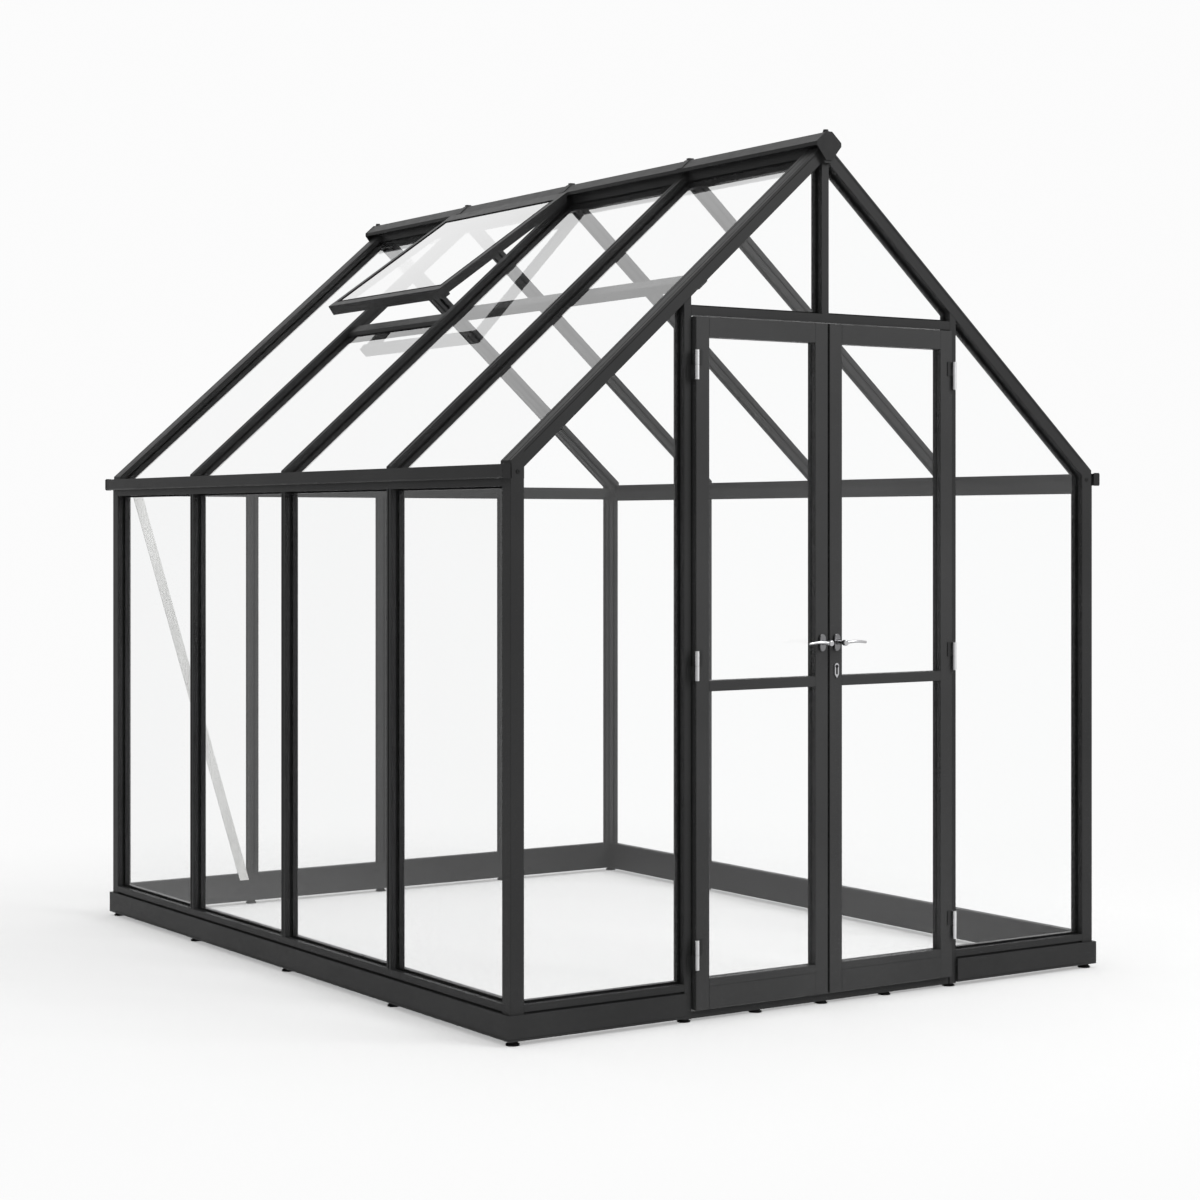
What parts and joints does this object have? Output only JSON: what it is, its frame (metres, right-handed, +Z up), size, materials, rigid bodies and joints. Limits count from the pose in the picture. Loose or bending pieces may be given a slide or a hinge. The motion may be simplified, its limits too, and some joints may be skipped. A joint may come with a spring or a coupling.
{
  "type": "garden greenhouse",
  "caption": "Walk-in garden greenhouse with a dark aluminium frame, clear glass walls and pitched roof, twin hinged doors with lever handles and an open roof vent.",
  "frame": {"origin": "centre of the bounding box on the floor, under the levelling feet", "axes": "+X to the right seen from the doors, +Y from the doors to the back wall, +Z up; the doors face -Y"},
  "size_m": [2.441, 3.082, 2.813],
  "materials": {
    "frame": "satin powder coat",
    "end_caps": "moulded cap",
    "feet": "moulded foot",
    "glass": "clear toughened glass",
    "hinge_metal": "bright zinc",
    "handle_metal": "satin chrome",
    "brace_metal": "mill finish"
  },
  "bodies": {
    "frame": {"levelling_feet": "feet", "front_base_rails": "frame", "side_base_rails": "frame", "back_base_rail": "frame", "jamb_feet": "frame", "door_threshold": "frame", "corner_posts": "frame", "wall_studs": "frame", "side_sill_rails": "frame", "end_sill_rails": "frame", "wall_top_rails": "frame", "eave_beams": "frame", "gutters": "frame", "gutter_end_caps": "end_caps", "back_eave_tie": "frame", "gable_rafters": "frame", "roof_bars": "frame", "ridge_beam": "frame", "ridge_end_caps": "end_caps", "ridge_straps": "frame", "door_jambs": "frame", "door_header": "frame", "gable_mullion": "frame", "vent_stiles": "frame", "vent_rails": "frame", "vent_glass": "glass", "vent_sill": "frame", "roof_purlin": "frame", "wall_brace": "brace_metal", "wall_glass": "glass", "front_glass": "glass", "gable_glass": "glass", "roof_glass": "glass", "frame_hinges": "hinge_metal"},
    "left_door": {"left_door_stiles": "frame", "left_door_rails": "frame", "left_door_glass": "glass", "left_hinge_leaves": "hinge_metal", "left_rose": "handle_metal"},
    "left_lever": {"left_lever": "handle_metal"},
    "right_door": {"right_door_stiles": "frame", "right_door_rails": "frame", "right_door_glass": "glass", "right_hinge_leaves": "hinge_metal", "right_rose": "handle_metal", "lock_plate": "handle_metal"},
    "right_lever": {"right_lever": "handle_metal"}
  },
  "joints": [
    {"name": "left_door_hinge", "type": "hinge", "parent": "frame", "child": "left_door", "pos_m": [-0.5285, -1.4955, 1.1], "axis": [0, 0, -1], "range_deg": [0, 110]},
    {"name": "right_door_hinge", "type": "hinge", "parent": "frame", "child": "right_door", "pos_m": [0.5285, -1.4955, 1.1], "axis": [0, 0, 1], "range_deg": [0, 110]},
    {"name": "left_lever_turn", "type": "hinge", "parent": "left_door", "child": "left_lever", "pos_m": [-0.03, -1.495, 1.164], "axis": [0, -1, 0], "range_deg": [0, 45], "stiffness_Nm_per_rad": 0.8, "springref_deg": -34.38},
    {"name": "right_lever_turn", "type": "hinge", "parent": "right_door", "child": "right_lever", "pos_m": [0.03, -1.495, 1.164], "axis": [0, 1, 0], "range_deg": [0, 45], "stiffness_Nm_per_rad": 0.8, "springref_deg": -34.38}
  ]
}
